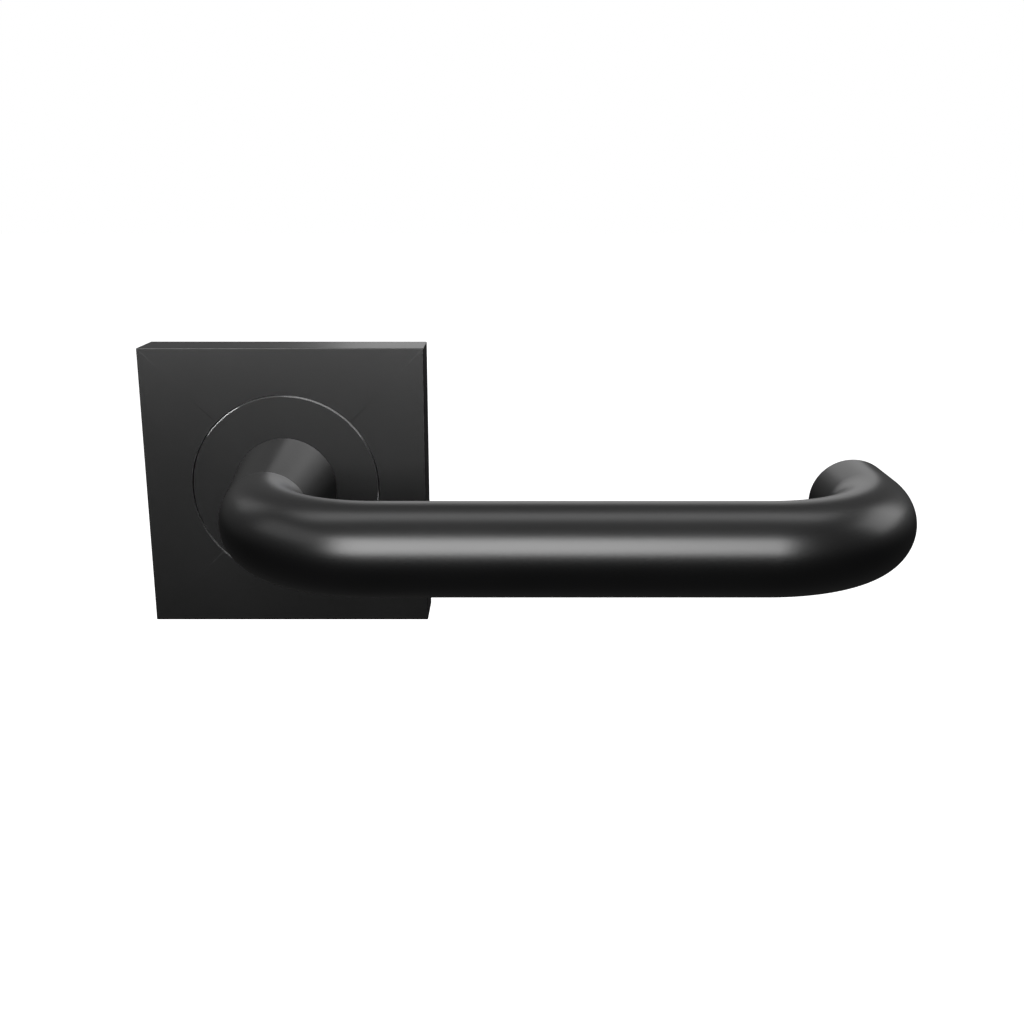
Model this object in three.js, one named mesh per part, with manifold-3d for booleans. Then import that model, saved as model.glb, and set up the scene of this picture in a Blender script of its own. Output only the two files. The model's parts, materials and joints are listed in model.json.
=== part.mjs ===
// A door lever handle on a square rose: the half of a lever set that is fixed to one face of a door.
//
// Frame: the origin is where the spindle's axis crosses the door's face. +X runs along the lever to its
// free end, +Y goes into the door and +Z is up, so the room is on the -Y side. Sizes are in millimetres.
// In the functions below, "front" is a place on Y nearer the room and "back" is one nearer the door.

import * as THREE from 'three';
import { mergeVertices } from 'three/addons/utils/BufferGeometryUtils.js';
import Module from 'manifold-3d';

const wasm = await Module();
wasm.setup();

// ---- driving dimensions ----

const GAP = 0.3; // between pieces that touch or turn in one another
const FINE = 48; // sides of a large round piece
const COARSE = 24; // sides of a screw or a wire
const SMALL = 16; // sides of a pin
const SEAM_SIDES = 64; // sides of the disc, whose rim shows as the seam
const SECTOR_STEPS = 8; // in each arc of a flat ring's sector
const HEXAGON = 6;
const WELD = 1e-5; // points nearer than this are one point
const OVERRUN = 1; // how far a cutting tool reaches past its piece
const OVERLAP = 0.2; // between bodies that are joined into one

const DOOR_FACE = 0;
const ROSE_WIDTH = 55;
const ROSE_DEPTH = 10.3;
const ROSE_FRONT = DOOR_FACE - ROSE_DEPTH;
const COVER_WALL = 1.2;
const DISC_RADIUS = 18.15;
const DISC_BORE = 9.6;
const DISC_FLANGE = { step: 1.45, depth: 0.8 }; // wider than the opening, behind the cover
const DISC_BACK = ROSE_FRONT + COVER_WALL + GAP + DISC_FLANGE.depth;
const LIFTING_NOTCH = { width: 7, depth: 1, height: 3 }; // in the cover's lower wall

const GRIP_RADIUS = 7.92;
const GRIP_WALL = 1.6;
const GRIP_AXIS = ROSE_FRONT - 42.27; // Y of the bar's centre line
const GRIP_REACH = 108.43; // X of the centre line of the leg that turns back
const GRIP_END = ROSE_FRONT - 9.6; // Y of the free end, which stops short of the door
const BEND_RADIUS = 22;
const BEND_STEPS = 11;

const NECK_RADIUS = 9.97; // at the rose
const JOURNAL_RADIUS = 8;
const BUSH_RECESS = 0.2; // of the bush's front, behind the rose's
const LID_CLEARANCE = 0.4; // between the lid and the neck's journal
const SPIGOT_RADIUS = 5.6;
const SPIGOT_LENGTH = 3.2;

const SPINDLE_WIDTH = 8;
const SPINDLE_FRONT = GRIP_AXIS + 25;
const SPINDLE_BACK = 55;
const SOCKET_WIDTH = SPINDLE_WIDTH + 2 * GAP;
const GRUB_PLACE = ROSE_FRONT - 9; // Y of the grub screw

const PLATE_WIDTH = 51.2;
const PLATE_DEPTH = 1.5;
const PLATE_FRONT = DOOR_FACE - PLATE_DEPTH;
const BOLT_SPREAD = 19; // from the spindle to each through bolt
const CORNER_SPREAD = 20.5; // from the spindle to each wood screw, on X and on Z
const EAR_SPREAD = 17.6; // from the spindle to each housing screw
const BOLT_HOLE = 2.3;

const LID_FRONT = DISC_BACK + GAP;
const LID_BACK = LID_FRONT + 0.8;
const HOUSING_RADIUS = 14.8;
const HOUSING_BORE = 13.3;
const HOUSING_SLOT = { length: 9, place: 11 }; // along X
const EAR_RADIUS = 3.2;
const SCREW_HOLE = 1.65;

const FLANGE_RADIUS = 12.9;
const FLANGE_FRONT = LID_BACK + GAP;
const FLANGE_BACK = FLANGE_FRONT + 0.8;
const HUB_RADIUS = 8;
const HUB_JOURNAL = 7.8;
const HUB_BACK = 3;
const RING_GROOVE = { radius: 7.1, front: 0.8, back: 2.2 };
const RING = { outer: 9.6, opening: 25 }; // its opening is an angle, at the bottom
const WASHER = { outer: 10.5, front: 0.2, back: 0.6 };
const NOTCH_INSIDE = 10.5; // inner radius of the flange's notches for the stop pins

const SPRING_RADIUS = 9.6;
const WIRE_ACROSS = 1.8;
const WIRE_THICK = 1.1;
const SPRING_FRONT = FLANGE_BACK + GAP + WIRE_THICK / 2; // Y of the wire's centre at its moving leg
const SPRING_PITCH = 1.2;
const SPRING_TURNS = 3;
const SPRING_STEPS = 28; // in one turn
const SPRING_FIXED_ANGLE = -92.5;
const SPRING_LEGS = { fixed: 9.8, moving: 6.6 };

const PEG_RADIUS = 0.8;
const PEG_CIRCLE = 12;
const PEG_LENGTH = 2.5;
const PEG_PLAY = 0.2; // between the peg and the spring's leg

const LEVER_TRAVEL = 45; // degrees, from level to fully down
const PIN_RADIUS = 1;
const PIN_CIRCLE = 11.9;
const PIN_ANGLES = { upper: 60, lower: 240 };

// Fasteners. Radii are of the outside, and places and lengths are on Y.
const END_PLUG = { recess: 0.2, wall: 1.2, face: 1.4, depth: 4.5, chamfer: 0.4 };
const GRUB_SCREW = { radius: 2.5, head: 8.6, chamfer: 0.5, socket: 1.4, socketDepth: 2 };
const SPINDLE_CHAMFER = 0.7;
const SPIGOT = { radius: 4, back: 6 }; // around each bolt hole of the plate
const CORNER_HOLE = { front: 3.9, back: 1.9, past: 0.5 }; // a cone, from past one face to past the other
const EAR_SINK = { back: 3.1, depth: 1.1, past: 0.01 };
const HOUSING_SCREW = { radius: 1.35, head: 2.7, headPlace: -1.1, face: -0.1, reach: 1.6, depth: 0.8 };
const BOLT = { shank: 1.95, rim: 2.6, head: 3.3, headDepth: 2.1, rounding: 0.9, back: 35 };
const BOLT_RECESS = { reach: 1.9, depth: 1.3 };
const BOLT_TIP = { radius: 1.5, depth: 0.5 };
const SLEEVE = { front: 19, radius: 3.2, head: 42, headRadius: 4.2, headDepth: 2, rounding: 0.8, wall: 1 };
const SLEEVE_SLOT = { width: 1, depth: 0.8 };
const WOOD_SCREW = { head: 3.4, shank: 1.6, headDepth: 1.75, taper: 13 };
const WOOD_POINT = { radius: 0.9, place: 16.5, tip: 19 };
const WOOD_RECESS = { reach: 1.9, depth: 1.2 };
const RECESS_WIDTH = 1;
const CLIP = { width: 12, thick: 0.5, foot: 4.6, bow: 1, peak: -5, tip: -7.6 };

// ---- finishes ----

const SATIN_BLACK = { color: 0x17181a, roughness: 0.38, metalness: 0.1 };
const ZINC = { color: 0xb9bcc0, roughness: 0.4, metalness: 1 };
const STEEL = { color: 0x9a9da1, roughness: 0.35, metalness: 1 };
const SPRING_STEEL = { color: 0x4a4d52, roughness: 0.3, metalness: 1 };
const NYLON = { color: 0xe6e4dc, roughness: 0.55, metalness: 0 };

// ---- geometry helpers ----

const radians = THREE.MathUtils.degToRad;

function named(name, geometry, finish) {
  const mesh = new THREE.Mesh(geometry, new THREE.MeshStandardMaterial(finish));
  mesh.name = name;
  return mesh;
}

// A solid of revolution about the Y axis. Each point is [radius, y], and the profile runs up its outer side.
function turned(profile, sides = FINE) {
  const points = profile.map(([radius, y]) => new THREE.Vector2(radius, y));
  return new THREE.LatheGeometry(points, sides);
}

// A round tube about the Y axis, with square-cut ends.
function ring(outer, inner, front, back, sides = FINE) {
  return turned([[inner, front], [outer, front], [outer, back], [inner, back], [inner, front]], sides);
}

// A round bar or cone about the Y axis. It takes a second radius where its back end has another size.
function rod(radius, front, back, sides = COARSE, backRadius = radius) {
  const bar = new THREE.CylinderGeometry(backRadius, radius, back - front, sides);
  return bar.translate(0, (front + back) / 2, 0);
}

// A flat piece from front to back, whose outline is drawn as it looks from the room.
function sheet(outline, front, back) {
  const options = { depth: back - front, bevelEnabled: false, curveSegments: FINE };
  return new THREE.ExtrudeGeometry(outline, options).rotateX(Math.PI / 2).translate(0, back, 0);
}

function block(width, depth, height, x = 0, y = 0, z = 0) {
  return new THREE.BoxGeometry(width, depth, height).translate(x, y, z);
}

function rectangle(width, height) {
  const shape = new THREE.Shape();
  shape.moveTo(-width / 2, -height / 2);
  shape.lineTo(width / 2, -height / 2);
  shape.lineTo(width / 2, height / 2);
  shape.lineTo(-width / 2, height / 2);
  shape.closePath();
  return shape;
}

function circle(radius) {
  return new THREE.Path().absarc(0, 0, radius, 0, 2 * Math.PI);
}

function solid(geometry) {
  const bare = geometry.clone();
  bare.deleteAttribute('normal');
  bare.deleteAttribute('uv');
  const welded = mergeVertices(bare, WELD);
  const vertProperties = new Float32Array(welded.attributes.position.array);
  const triVerts = new Uint32Array(welded.index.array);
  return new wasm.Manifold(new wasm.Mesh({ numProp: 3, vertProperties, triVerts }));
}

function geometryOf(body) {
  const { vertProperties, triVerts } = body.getMesh();
  const geometry = new THREE.BufferGeometry();
  geometry.setAttribute('position', new THREE.BufferAttribute(vertProperties, 3));
  geometry.setIndex(new THREE.BufferAttribute(triVerts, 1));
  return geometry;
}

function join(...geometries) {
  return geometryOf(geometries.map(solid).reduce((whole, extra) => whole.add(extra)));
}

function cut(geometry, ...tools) {
  return geometryOf(tools.map(solid).reduce((rest, tool) => rest.subtract(tool), solid(geometry)));
}

// The same geometry once at each [x, z] place.
function copiesAt(places, makeOne) {
  return places.map(([x, z]) => makeOne().translate(x, 0, z));
}

// A path that lies across one fixed direction, given by its points and by its tangents there. A section
// drawn across it keeps its first axis along that direction, so it doesn't twist.
class GuidedPath extends THREE.Curve {
  constructor(points, tangents, across) {
    super();
    this.points = points;
    this.tangents = tangents;
    this.across = across;
  }

  getPointAt(t) {
    return this.points[Math.round(t * (this.points.length - 1))].clone();
  }

  computeFrenetFrames() {
    const tangents = this.tangents.map((tangent) => tangent.clone().normalize());
    const binormals = tangents.map((tangent) => tangent.clone().cross(this.across).normalize());
    const normals = tangents.map((tangent, i) => binormals[i].clone().cross(tangent));
    return { tangents, normals, binormals };
  }

  sweep(section, curveSegments) {
    const steps = this.points.length - 1;
    return new THREE.ExtrudeGeometry(section, { steps, extrudePath: this, curveSegments });
  }
}

// ---- the lever ----

// The grip's centre line leaves the neck towards the room, rounds the elbow, runs along the bar, and
// rounds the far bend back towards the door.
function gripLine() {
  const points = [];
  const tangents = [];
  const bendCentre = GRIP_AXIS + BEND_RADIUS;
  const add = (x, y, dx, dy) => {
    points.push(new THREE.Vector3(x, y, 0));
    tangents.push(new THREE.Vector3(dx, dy, 0));
  };
  for (let step = 0; step <= BEND_STEPS; step += 1) {
    const angle = (step / BEND_STEPS) * (Math.PI / 2);
    const [sine, cosine] = [Math.sin(angle), Math.cos(angle)];
    add(BEND_RADIUS * (1 - cosine), bendCentre - BEND_RADIUS * sine, sine, -cosine);
  }
  for (let step = 0; step <= BEND_STEPS; step += 1) {
    const angle = (step / BEND_STEPS) * (Math.PI / 2);
    const [sine, cosine] = [Math.sin(angle), Math.cos(angle)];
    add(GRIP_REACH - BEND_RADIUS * (1 - sine), bendCentre - BEND_RADIUS * cosine, cosine, sine);
  }
  add(GRIP_REACH, GRIP_END, 0, 1);
  return new GuidedPath(points, tangents, new THREE.Vector3(0, 0, 1));
}

function gripTube() {
  const section = new THREE.Shape().absarc(0, 0, GRIP_RADIUS, 0, 2 * Math.PI);
  section.holes.push(circle(GRIP_RADIUS - GRIP_WALL));
  return named('grip_tube', gripLine().sweep(section, COARSE / 2), SATIN_BLACK);
}

// A cup-shaped plug that sits in the grip's mouth, a hair below its rim.
function endPlug() {
  const radius = GRIP_RADIUS - GRIP_WALL - GAP;
  const face = GRIP_END - END_PLUG.recess;
  const hollow = radius - END_PLUG.wall;
  const geometry = turned([
    [0, face - END_PLUG.face],
    [hollow, face - END_PLUG.face],
    [hollow, face - END_PLUG.depth],
    [radius, face - END_PLUG.depth],
    [radius, face - END_PLUG.chamfer],
    [radius - END_PLUG.chamfer, face],
    [0, face],
  ], COARSE);
  const mesh = named('end_plug', geometry, SATIN_BLACK);
  mesh.position.x = GRIP_REACH;
  return mesh;
}

// The neck: a cone from the rose to the elbow, a journal that turns in the bush, a short spigot inside
// the grip, a square socket for the spindle and a cross hole for the grub screw.
function neck() {
  const shoulder = ROSE_FRONT - GAP;
  const elbow = GRIP_AXIS + BEND_RADIUS + GAP;
  const journalBack = FLANGE_FRONT - GAP;
  const body = turned([
    [0, elbow - GAP - SPIGOT_LENGTH],
    [SPIGOT_RADIUS, elbow - GAP - SPIGOT_LENGTH],
    [SPIGOT_RADIUS, elbow],
    [GRIP_RADIUS, elbow],
    [NECK_RADIUS, shoulder],
    [JOURNAL_RADIUS, shoulder],
    [JOURNAL_RADIUS, journalBack],
    [0, journalBack],
  ]);
  const socketFront = SPINDLE_FRONT - GAP;
  const socketDepth = journalBack + OVERRUN - socketFront;
  const socket = block(SOCKET_WIDTH, socketDepth, SOCKET_WIDTH, 0, socketFront + socketDepth / 2);
  const grubHole = rod(GRUB_SCREW.radius + GAP, 0, 2 * NECK_RADIUS);
  grubHole.rotateX(-Math.PI / 2).translate(0, GRUB_PLACE, 0);
  return named('neck', cut(body, socket, grubHole), SATIN_BLACK);
}

// A set screw with a hexagon socket, pointing up at the spindle's lower face.
function grubScrew() {
  const { radius, head, chamfer } = GRUB_SCREW;
  const tip = SPINDLE_WIDTH / 2 + GAP;
  const body = turned([
    [0, tip],
    [radius - chamfer, tip],
    [radius, tip + chamfer],
    [radius, head],
    [0, head],
  ], COARSE);
  const socket = rod(GRUB_SCREW.socket, head - GRUB_SCREW.socketDepth, head + OVERRUN, HEXAGON);
  const mesh = named('grub_screw', cut(body, socket), STEEL);
  mesh.rotation.x = -Math.PI / 2;
  mesh.position.y = GRUB_PLACE;
  return mesh;
}

function spindle() {
  const chamfer = SPINDLE_CHAMFER;
  const section = rectangle(SPINDLE_WIDTH - 2 * chamfer, SPINDLE_WIDTH - 2 * chamfer);
  const geometry = new THREE.ExtrudeGeometry(section, {
    depth: SPINDLE_BACK - SPINDLE_FRONT - 2 * chamfer,
    bevelThickness: chamfer,
    bevelSize: chamfer,
    bevelSegments: 1,
  });
  geometry.rotateX(Math.PI / 2).translate(0, SPINDLE_BACK - chamfer, 0);
  return named('spindle', geometry, ZINC);
}

// A sector of a flat ring, as a cutter. Angles are in degrees, anticlockwise from +X as the room sees it.
function sector(inner, outer, from, to, front, back) {
  const shape = new THREE.Shape();
  shape.absarc(0, 0, outer, radians(from), radians(to), false);
  shape.absarc(0, 0, inner, radians(to), radians(from), true);
  shape.closePath();
  const options = { depth: back - front, bevelEnabled: false, curveSegments: SECTOR_STEPS };
  return new THREE.ExtrudeGeometry(shape, options).rotateX(Math.PI / 2).translate(0, back, 0);
}

// The disc that the spindle turns. Its flange is cut away where the stop pins stand, its peg pushes the
// spring's moving leg, and its hub runs through the plate to the retaining ring behind it.
function driveDisc() {
  const body = turned([
    [0, FLANGE_FRONT],
    [FLANGE_RADIUS, FLANGE_FRONT],
    [FLANGE_RADIUS, FLANGE_BACK],
    [HUB_RADIUS, FLANGE_BACK],
    [HUB_RADIUS, PLATE_FRONT - GAP],
    [HUB_JOURNAL, PLATE_FRONT - GAP],
    [HUB_JOURNAL, RING_GROOVE.front],
    [RING_GROOVE.radius, RING_GROOVE.front],
    [RING_GROOVE.radius, RING_GROOVE.back],
    [HUB_JOURNAL, RING_GROOVE.back],
    [HUB_JOURNAL, HUB_BACK],
    [0, HUB_BACK],
  ]);
  const peg = rod(PEG_RADIUS, FLANGE_FRONT + OVERLAP, FLANGE_FRONT + PEG_LENGTH, SMALL);
  peg.translate(-PEG_CIRCLE, 0, 0);
  const margin = THREE.MathUtils.radToDeg(Math.asin((PIN_RADIUS + GAP) / PIN_CIRCLE));
  const notches = Object.values(PIN_ANGLES).map((angle) => (
    sector(NOTCH_INSIDE, FLANGE_RADIUS + OVERRUN, angle - margin, angle + LEVER_TRAVEL + margin,
      FLANGE_FRONT - OVERRUN, FLANGE_BACK + OVERRUN)
  ));
  const socket = block(SOCKET_WIDTH, 2 * ROSE_DEPTH, SOCKET_WIDTH);
  return named('drive_disc', cut(join(body, peg), socket, ...notches), ZINC);
}

// An open ring that snaps into the hub's groove.
function retainingRing() {
  const half = RING.opening / 2;
  const geometry = sector(RING_GROOVE.radius + GAP, RING.outer, half - 90, 270 - half,
    RING_GROOVE.front + GAP, RING_GROOVE.back - GAP);
  return named('retaining_ring', geometry, SPRING_STEEL);
}

function thrustWasher() {
  const geometry = ring(WASHER.outer, HUB_JOURNAL + GAP, WASHER.front, WASHER.back);
  return named('thrust_washer', geometry, NYLON);
}

// ---- the rose ----

// The square cover: a front with a round opening and four walls that reach the door. A small notch in
// the lower wall takes a blade to lift the cover off.
function roseCover() {
  const front = rectangle(ROSE_WIDTH, ROSE_WIDTH);
  front.holes.push(circle(DISC_RADIUS + GAP));
  const inside = ROSE_WIDTH - 2 * COVER_WALL;
  const walls = rectangle(ROSE_WIDTH, ROSE_WIDTH);
  walls.holes.push(rectangle(inside, inside));
  const frontBack = ROSE_FRONT + COVER_WALL;
  const { width, depth, height } = LIFTING_NOTCH;
  const notch = block(width, 2 * depth, 2 * height, 0, DOOR_FACE, -ROSE_WIDTH / 2);
  const cover = join(sheet(front, ROSE_FRONT, frontBack), sheet(walls, frontBack - OVERLAP, DOOR_FACE));
  return named('rose_cover', cut(cover, notch), SATIN_BLACK);
}

// The disc lies flush in the cover's opening, and its wider back flange is trapped behind the cover.
function coverDisc() {
  const flangeRadius = DISC_RADIUS + DISC_FLANGE.step;
  const flangeFront = DISC_BACK - DISC_FLANGE.depth;
  const geometry = turned([
    [DISC_BORE, ROSE_FRONT],
    [DISC_RADIUS, ROSE_FRONT],
    [DISC_RADIUS, flangeFront],
    [flangeRadius, flangeFront],
    [flangeRadius, DISC_BACK],
    [DISC_BORE, DISC_BACK],
    [DISC_BORE, ROSE_FRONT],
  ], SEAM_SIDES);
  return named('cover_disc', geometry, SATIN_BLACK);
}

function neckBush() {
  const geometry = ring(DISC_BORE - GAP, JOURNAL_RADIUS + GAP, ROSE_FRONT + BUSH_RECESS, DISC_BACK);
  return named('neck_bush', geometry, NYLON);
}

// The plate that is fixed to the door. Two hollow spigots around the bolt holes enter the door, the
// corner holes are countersunk for wood screws, and the housing screws come in from the back.
function mountingPlate() {
  const boltPlaces = [[-BOLT_SPREAD, 0], [BOLT_SPREAD, 0]];
  const cornerPlaces = [[-CORNER_SPREAD, CORNER_SPREAD], [CORNER_SPREAD, -CORNER_SPREAD]];
  const earPlaces = [[0, EAR_SPREAD], [0, -EAR_SPREAD]];
  const pinPlaces = Object.values(PIN_ANGLES).map(pinPlace);
  const plate = join(
    sheet(rectangle(PLATE_WIDTH, PLATE_WIDTH), PLATE_FRONT, DOOR_FACE),
    ...copiesAt(boltPlaces, () => rod(SPIGOT.radius, PLATE_FRONT + OVERLAP, SPIGOT.back)),
  );
  const before = PLATE_FRONT - OVERRUN;
  const past = DOOR_FACE + OVERRUN;
  const cornerCone = () => rod(
    CORNER_HOLE.front, PLATE_FRONT - CORNER_HOLE.past, DOOR_FACE + CORNER_HOLE.past, COARSE, CORNER_HOLE.back,
  );
  const earCone = () => rod(
    SCREW_HOLE, DOOR_FACE - EAR_SINK.depth, DOOR_FACE + EAR_SINK.past, COARSE, EAR_SINK.back,
  );
  return named('mounting_plate', cut(
    plate,
    rod(HUB_JOURNAL + GAP, before, past, FINE),
    ...copiesAt(boltPlaces, () => rod(BOLT_HOLE, before, SPIGOT.back + OVERRUN)),
    ...copiesAt(cornerPlaces, cornerCone),
    ...copiesAt(earPlaces, () => rod(SCREW_HOLE, before, past)),
    ...copiesAt(earPlaces, earCone),
    ...copiesAt(pinPlaces, () => rod(PIN_RADIUS + GAP, before, past, SMALL)),
  ), ZINC);
}

function pinPlace(angle) {
  return [PIN_CIRCLE * Math.cos(radians(angle)), PIN_CIRCLE * Math.sin(radians(angle))];
}

// The outline of the housing and of its lid: a circle with an ear above and below, each with a hole.
function housingOutline(bore, front, back) {
  const ears = [[0, EAR_SPREAD], [0, -EAR_SPREAD]];
  const tab = () => join(
    rod(EAR_RADIUS, front, back),
    block(2 * EAR_RADIUS, back - front, EAR_RADIUS, 0, (front + back) / 2, 0),
  );
  const tabs = ears.map(([x, z]) => tab().translate(x, 0, z));
  return cut(
    join(rod(HOUSING_RADIUS, front, back, FINE), ...tabs),
    rod(bore, front - OVERRUN, back + OVERRUN, FINE),
    ...copiesAt(ears, () => rod(SCREW_HOLE, front - OVERRUN, back + OVERRUN)),
  );
}

// The ring around the spring. A slot in its back edge, along the spring's fixed leg, holds that leg.
function springHousing() {
  const back = PLATE_FRONT - GAP;
  const { length, place } = HOUSING_SLOT;
  const depth = WIRE_THICK + 2 * GAP;
  const slot = block(length, 2 * depth, WIRE_ACROSS + 3 * GAP, place, back, -SPRING_RADIUS - GAP);
  return named('spring_housing', cut(housingOutline(HOUSING_BORE, LID_BACK + GAP, back), slot), ZINC);
}

function housingLid() {
  return named('housing_lid', housingOutline(JOURNAL_RADIUS + LID_CLEARANCE, LID_FRONT, LID_BACK), STEEL);
}

// A torsion spring of flat wire. From its fixed leg it winds clockwise towards the room, as the room
// sees it, so turning the lever down winds it tighter. Each leg leaves the coil along its tangent.
function returnSpring() {
  const fixedAngle = SPRING_FIXED_ANGLE;
  const pegSide = SPRING_RADIUS + WIRE_ACROSS / 2 + PEG_PLAY + PEG_RADIUS; // square to the moving leg
  const legAngle = THREE.MathUtils.radToDeg(Math.acos(pegSide / PEG_CIRCLE));
  const movingAngle = 180 + legAngle - SPRING_TURNS * 360;
  const steps = Math.round(((fixedAngle - movingAngle) / 360) * SPRING_STEPS);
  const rise = (SPRING_PITCH * (fixedAngle - movingAngle)) / 360;
  const points = [];
  const tangents = [];
  for (let step = 0; step <= steps; step += 1) {
    const angle = radians(THREE.MathUtils.lerp(fixedAngle, movingAngle, step / steps));
    const y = SPRING_FRONT + rise * (1 - step / steps);
    points.push(new THREE.Vector3(SPRING_RADIUS * Math.cos(angle), y, SPRING_RADIUS * Math.sin(angle)));
    tangents.push(new THREE.Vector3(Math.sin(angle), 0, -Math.cos(angle)));
  }
  const [first, last] = [points[0], points.at(-1)];
  points.unshift(first.clone().addScaledVector(tangents[0], -SPRING_LEGS.fixed));
  points.push(last.clone().addScaledVector(tangents.at(-1), SPRING_LEGS.moving));
  tangents.unshift(tangents[0]);
  tangents.push(tangents.at(-1));
  const path = new GuidedPath(points, tangents, new THREE.Vector3(0, 1, 0));
  return named('return_spring', path.sweep(rectangle(WIRE_THICK, WIRE_ACROSS), 1), SPRING_STEEL);
}

function stopPin(name, angle) {
  const mesh = named(name, rod(PIN_RADIUS, FLANGE_FRONT, DOOR_FACE, SMALL), STEEL);
  const [x, z] = pinPlace(angle);
  mesh.position.set(x, 0, z);
  return mesh;
}

// A screw along Y whose head is at its front: its profile is one line from the tip to the head.
function screw(name, profile, recess, finish) {
  return named(name, cut(turned(profile, COARSE), ...recess), finish);
}

// The two crossed slots of a screwdriver's recess, down from the head's face.
function crossRecess(face, { reach, depth }) {
  return [
    block(2 * reach, 2 * depth, RECESS_WIDTH, 0, face, 0),
    block(RECESS_WIDTH, 2 * depth, 2 * reach, 0, face, 0),
  ];
}

// A flat countersunk screw from the plate's back through the housing's ear into the lid.
function housingScrew(name, z) {
  const { radius, head, headPlace, face } = HOUSING_SCREW;
  const mesh = screw(name, [
    [0, LID_FRONT],
    [radius, LID_FRONT],
    [radius, headPlace],
    [head, face],
    [0, face],
  ], crossRecess(face, HOUSING_SCREW), STEEL);
  mesh.position.z = z;
  return mesh;
}

// The through bolt, with a round head against the plate's front.
function throughBolt(name, x) {
  const { shank, rim, head, back } = BOLT;
  const seat = PLATE_FRONT - GAP;
  const face = seat - BOLT.headDepth;
  const mesh = screw(name, [
    [0, face],
    [rim, face],
    [head, face + BOLT.rounding],
    [head, seat],
    [shank, seat],
    [shank, back - BOLT_TIP.depth],
    [BOLT_TIP.radius, back],
    [0, back],
  ], crossRecess(face, BOLT_RECESS), ZINC);
  mesh.position.x = x;
  return mesh;
}

// The threaded sleeve that the bolt screws into, closed by a flat head at its far end.
function boltSleeve(name, x) {
  const { front, radius, head, headRadius, rounding, wall } = SLEEVE;
  const back = head + SLEEVE.headDepth;
  const slot = block(3 * headRadius, 2 * SLEEVE_SLOT.depth, SLEEVE_SLOT.width, 0, back, 0);
  const mesh = screw(name, [
    [BOLT_HOLE, front],
    [radius, front],
    [radius, head],
    [headRadius, head],
    [headRadius, back - rounding],
    [headRadius - rounding, back],
    [0, back],
    [0, head - wall],
    [BOLT_HOLE, head - wall],
    [BOLT_HOLE, front],
  ], [slot], ZINC);
  mesh.position.x = x;
  return mesh;
}

// A short countersunk wood screw with a tapered point.
function woodScrew(name, x, z) {
  const { head, shank, headDepth, taper } = WOOD_SCREW;
  const face = PLATE_FRONT - GAP;
  const mesh = screw(name, [
    [0, face],
    [head, face],
    [shank, face + headDepth],
    [shank, taper],
    [WOOD_POINT.radius, WOOD_POINT.place],
    [0, WOOD_POINT.tip],
  ], crossRecess(face, WOOD_RECESS), ZINC);
  mesh.position.set(x, 0, z);
  return mesh;
}

// A strip of spring steel with a foot on the plate and a bowed leg that presses on the cover's wall.
function coverClip(name, turn) {
  const { width, thick } = CLIP;
  const wall = ROSE_WIDTH / 2 - COVER_WALL;
  const foot = PLATE_FRONT - GAP;
  const heel = wall - CLIP.bow;
  const legs = [[heel, foot - thick], [wall - GAP, CLIP.peak], [heel, CLIP.tip]];
  const profile = new THREE.Shape();
  profile.moveTo(wall - CLIP.foot, foot);
  profile.lineTo(wall - CLIP.foot, foot - thick);
  profile.lineTo(heel - thick, foot - thick);
  profile.lineTo(legs[1][0] - thick, legs[1][1]);
  profile.lineTo(legs[2][0] - thick, legs[2][1]);
  profile.lineTo(...legs[2]);
  profile.lineTo(...legs[1]);
  profile.lineTo(...legs[0]);
  profile.lineTo(heel, foot);
  profile.closePath();
  const geometry = new THREE.ExtrudeGeometry(profile, { depth: width, bevelEnabled: false });
  geometry.rotateY(-Math.PI / 2).translate(width / 2, 0, 0);
  const mesh = named(name, geometry, SPRING_STEEL);
  mesh.rotation.y = turn;
  return mesh;
}

// ---- the assembly ----

const lever = new THREE.Group();
lever.add(gripTube(), endPlug(), neck(), grubScrew());
lever.add(spindle(), driveDisc(), retainingRing(), thrustWasher());

const rose = new THREE.Group();
rose.add(
  roseCover(),
  coverDisc(),
  neckBush(),
  mountingPlate(),
  springHousing(),
  housingLid(),
  returnSpring(),
  stopPin('stop_pin_upper', PIN_ANGLES.upper),
  stopPin('stop_pin_lower', PIN_ANGLES.lower),
  housingScrew('housing_screw_upper', EAR_SPREAD),
  housingScrew('housing_screw_lower', -EAR_SPREAD),
  coverClip('cover_clip_upper', 0),
  coverClip('cover_clip_lower', Math.PI),
  throughBolt('through_bolt_left', -BOLT_SPREAD),
  throughBolt('through_bolt_right', BOLT_SPREAD),
  boltSleeve('bolt_sleeve_left', -BOLT_SPREAD),
  boltSleeve('bolt_sleeve_right', BOLT_SPREAD),
  woodScrew('wood_screw_upper', -CORNER_SPREAD, CORNER_SPREAD),
  woodScrew('wood_screw_lower', CORNER_SPREAD, -CORNER_SPREAD),
);

const handle = new THREE.Group();
handle.add(lever, rose);

export default handle;
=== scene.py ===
import bmesh
import bpy
import json
from math import acos, asin, atan2, cos, pi, radians, sin, tan
from mathutils import Matrix, Vector

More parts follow.
